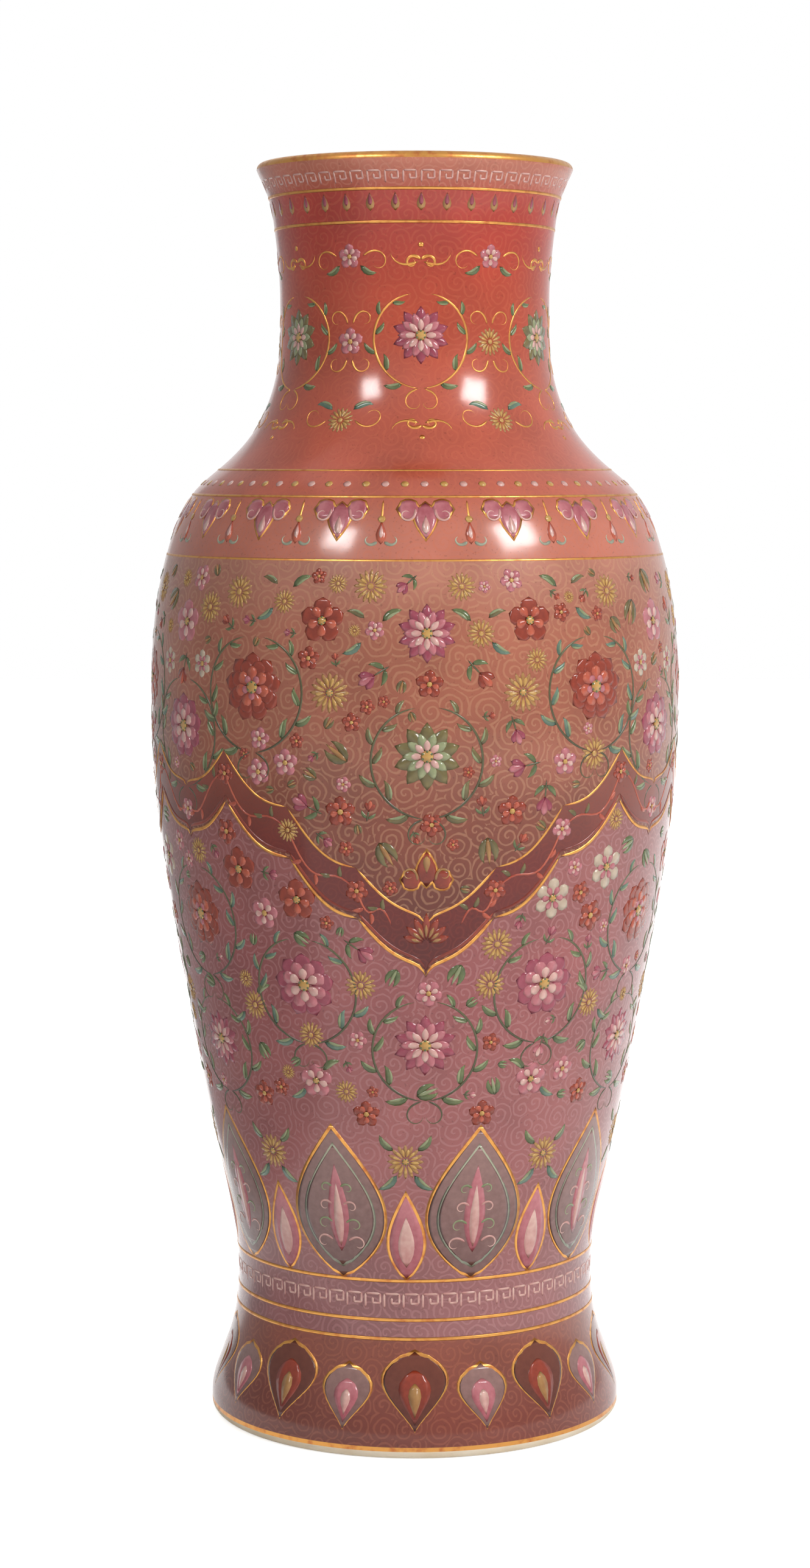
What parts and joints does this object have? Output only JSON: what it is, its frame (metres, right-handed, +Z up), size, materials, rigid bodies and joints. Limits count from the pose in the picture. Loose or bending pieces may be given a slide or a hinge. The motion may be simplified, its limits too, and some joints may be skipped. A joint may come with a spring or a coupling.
{
  "type": "baluster vase",
  "caption": "Tall enamelled porcelain vase with a spread foot, a high rounded shoulder, a short neck and an everted lip.",
  "frame": {"origin": "centre of the circle that the foot ring stands on", "axes": "+Z up along the axis of the vase; the vase is turned, so X and Y are alike"},
  "size_m": [0.1894, 0.1894, 0.45],
  "materials": {
    "brick_enamel": "glossy brick-red enamel over porcelain",
    "rose_enamel": "glossy mauve-pink enamel over porcelain",
    "amber_enamel": "glossy brown, ochre and olive enamels over porcelain",
    "coral_enamel": "glossy coral-red enamel over porcelain",
    "fired_slip": "matt fired clay"
  },
  "bodies": {
    "root": {"foot_section": "brick_enamel", "lower_body": "rose_enamel", "upper_body": "amber_enamel", "neck_and_mouth": "coral_enamel", "waist_slip_seam": "fired_slip", "belly_slip_seam": "fired_slip", "neck_slip_seam": "fired_slip"}
  },
  "joints": []
}
